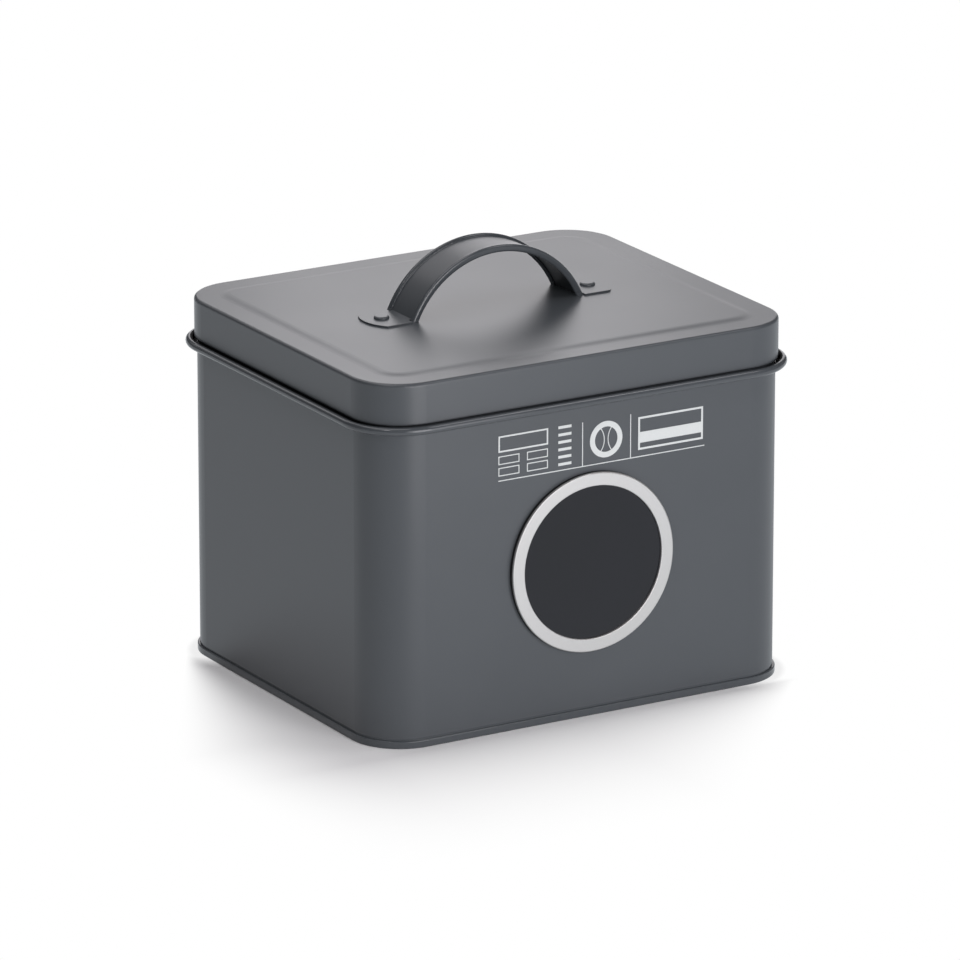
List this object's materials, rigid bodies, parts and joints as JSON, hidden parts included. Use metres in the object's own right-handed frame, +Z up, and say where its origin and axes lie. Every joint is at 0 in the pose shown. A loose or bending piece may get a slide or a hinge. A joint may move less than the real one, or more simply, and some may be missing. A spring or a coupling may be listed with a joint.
{
  "type": "laundry powder tin",
  "caption": "Rounded rectangular sheet-steel storage tin for washing powder, with a slip-over lid, riveted strap handle, gutter rim and a ringed round window in the front.",
  "frame": {"origin": "on the floor under the middle of the tin", "axes": "+X to the right along the front face, -Y out of the front face, +Z up"},
  "size_m": [0.2308, 0.1982, 0.2034],
  "materials": {
    "anthracite_paint": "satin anthracite paint on sheet steel",
    "black_foam": "matt black foam",
    "silver_ring": "matt silver",
    "smoked_pane": "glossy smoked plastic",
    "white_print": "white printing ink"
  },
  "bodies": {
    "tin": {"body_shell": "anthracite_paint", "base_panel": "anthracite_paint", "neck_collar": "anthracite_paint", "window_gasket": "black_foam", "window_bezel": "silver_ring", "window_pane": "smoked_pane", "panel_print": "white_print"},
    "lid": {"lid": "anthracite_paint", "handle": "anthracite_paint", "handle_rivets": "anthracite_paint"}
  },
  "joints": [
    {"name": "lid_lift", "type": "slide", "parent": "tin", "child": "lid", "axis": [0, 0, 1], "range_m": [0, 0.12]}
  ]
}
